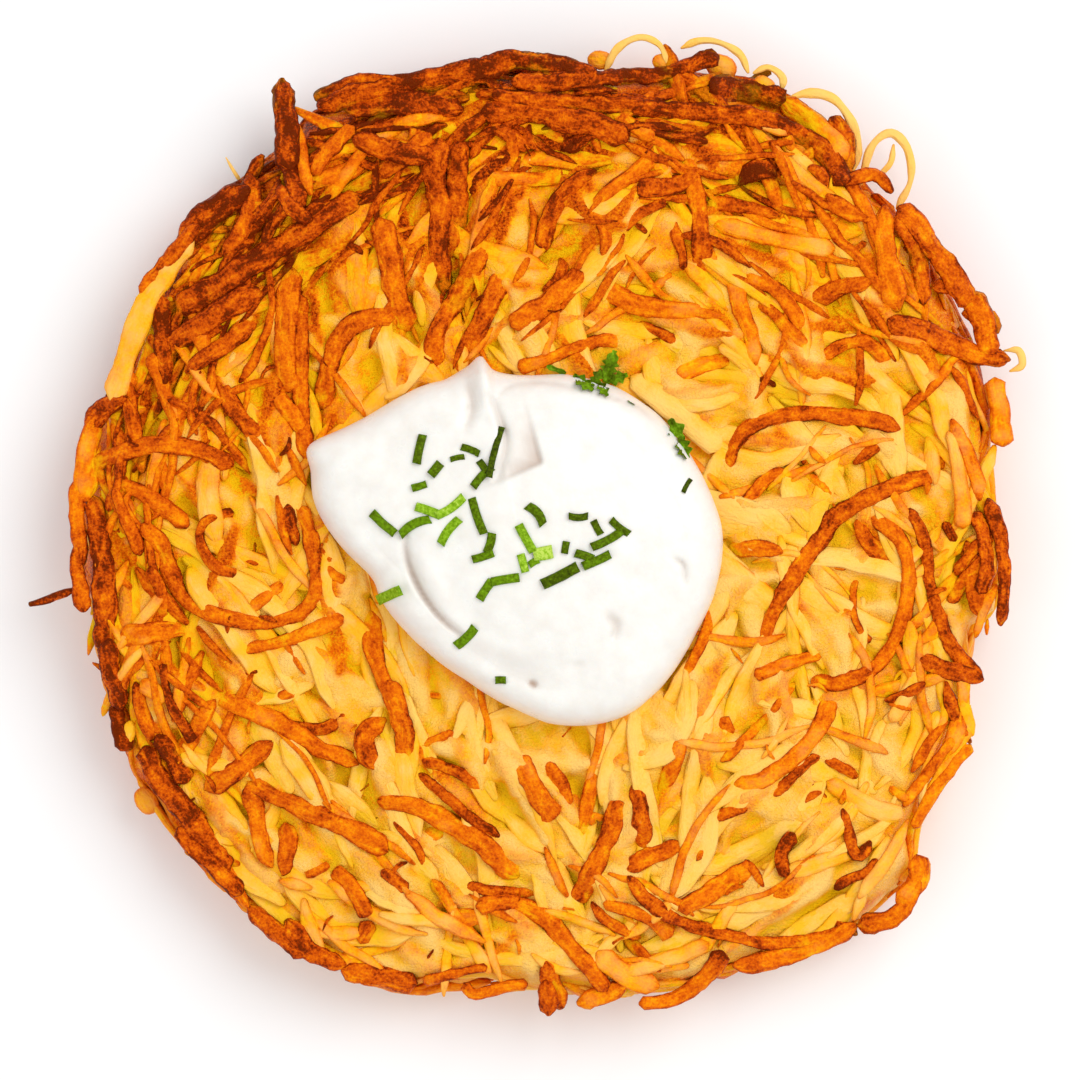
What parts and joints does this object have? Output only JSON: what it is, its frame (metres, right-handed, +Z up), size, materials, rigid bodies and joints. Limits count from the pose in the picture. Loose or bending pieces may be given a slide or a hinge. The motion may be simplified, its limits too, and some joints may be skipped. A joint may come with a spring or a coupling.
{
  "type": "potato rosti",
  "caption": "Round, flat cake of fried grated potato with an uneven shredded rim, and an off-centre spoonful of soured cream on top.",
  "frame": {"origin": "on the surface the rosti rests on, under the middle of the cake", "axes": "+Z up; +Y away from the viewer and +X to the viewer's right when the cream's pointed end is on the left"},
  "size_m": [0.1654, 0.1608, 0.028],
  "materials": {
    "rosti": "fried potato, golden inside and browner at the rim, slightly oily",
    "cream": "smooth moist white soured cream"
  },
  "bodies": {
    "root": {"rosti": "rosti", "cream": "cream"}
  },
  "joints": []
}
